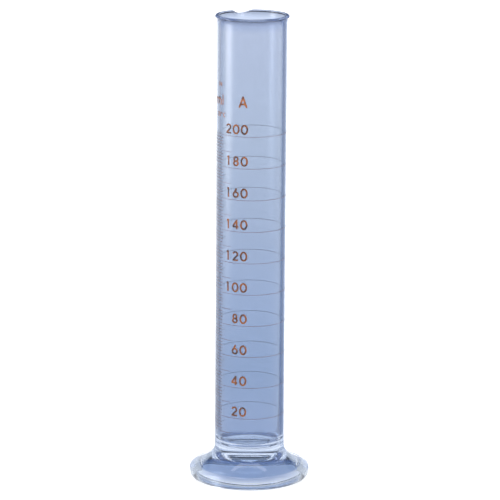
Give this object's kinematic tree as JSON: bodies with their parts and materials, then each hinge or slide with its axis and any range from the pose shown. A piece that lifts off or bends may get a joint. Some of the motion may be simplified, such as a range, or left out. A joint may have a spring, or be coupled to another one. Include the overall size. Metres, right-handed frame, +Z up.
{
  "type": "graduated cylinder",
  "caption": "Tall glass measuring cylinder with a round pressed foot, a flared rim with a pulled pouring spout, and a printed scale of rings, marks and numerals.",
  "frame": {"origin": "centre of the foot's standing ring, on the table plane", "axes": "+Z up along the barrel; -Y is the front, where the numerals stand left of the middle; the spout is at the back left"},
  "size_m": [0.0712, 0.0712, 0.2765],
  "materials": {
    "glass": "clear, faintly blue, fire polished",
    "enamel": "fired brown scale enamel, satin"
  },
  "bodies": {
    "root": {"barrel": "glass", "class_letter_A": "enamel", "contain_letter_I": "enamel", "contain_letter_N": "enamel", "foot": "glass", "long_mark_010": "enamel", "long_mark_030": "enamel", "long_mark_050": "enamel", "long_mark_070": "enamel", "long_mark_090": "enamel", "long_mark_110": "enamel", "long_mark_130": "enamel", "long_mark_150": "enamel", "long_mark_170": "enamel", "long_mark_190": "enamel", "numeral_020_tens": "enamel", "numeral_020_units": "enamel", "numeral_040_tens": "enamel", "numeral_040_units": "enamel", "numeral_060_tens": "enamel", "numeral_060_units": "enamel", "numeral_080_tens": "enamel", "numeral_080_units": "enamel", "numeral_100_hundreds": "enamel", "numeral_100_tens": "enamel", "numeral_100_units": "enamel", "numeral_120_hundreds": "enamel", "numeral_120_tens": "enamel", "numeral_120_units": "enamel", "numeral_140_hundreds": "enamel", "numeral_140_tens": "enamel", "numeral_140_units": "enamel", "numeral_160_hundreds": "enamel", "numeral_160_tens": "enamel", "numeral_160_units": "enamel", "numeral_180_hundreds": "enamel", "numeral_180_tens": "enamel", "numeral_180_units": "enamel", "numeral_200_hundreds": "enamel", "numeral_200_tens": "enamel", "numeral_200_units": "enamel", "ring_line_020": "enamel", "ring_line_040": "enamel", "ring_line_060": "enamel", "ring_line_080": "enamel", "ring_line_100": "enamel", "ring_line_120": "enamel", "ring_line_140": "enamel", "ring_line_160": "enamel", "ring_line_180": "enamel", "ring_line_200": "enamel", "temperature_0": "enamel", "temperature_2": "enamel", "temperature_C": "enamel", "temperature_degree": "enamel", "unit_letter_l": "enamel", "unit_letter_m": "enamel"}
  },
  "joints": []
}
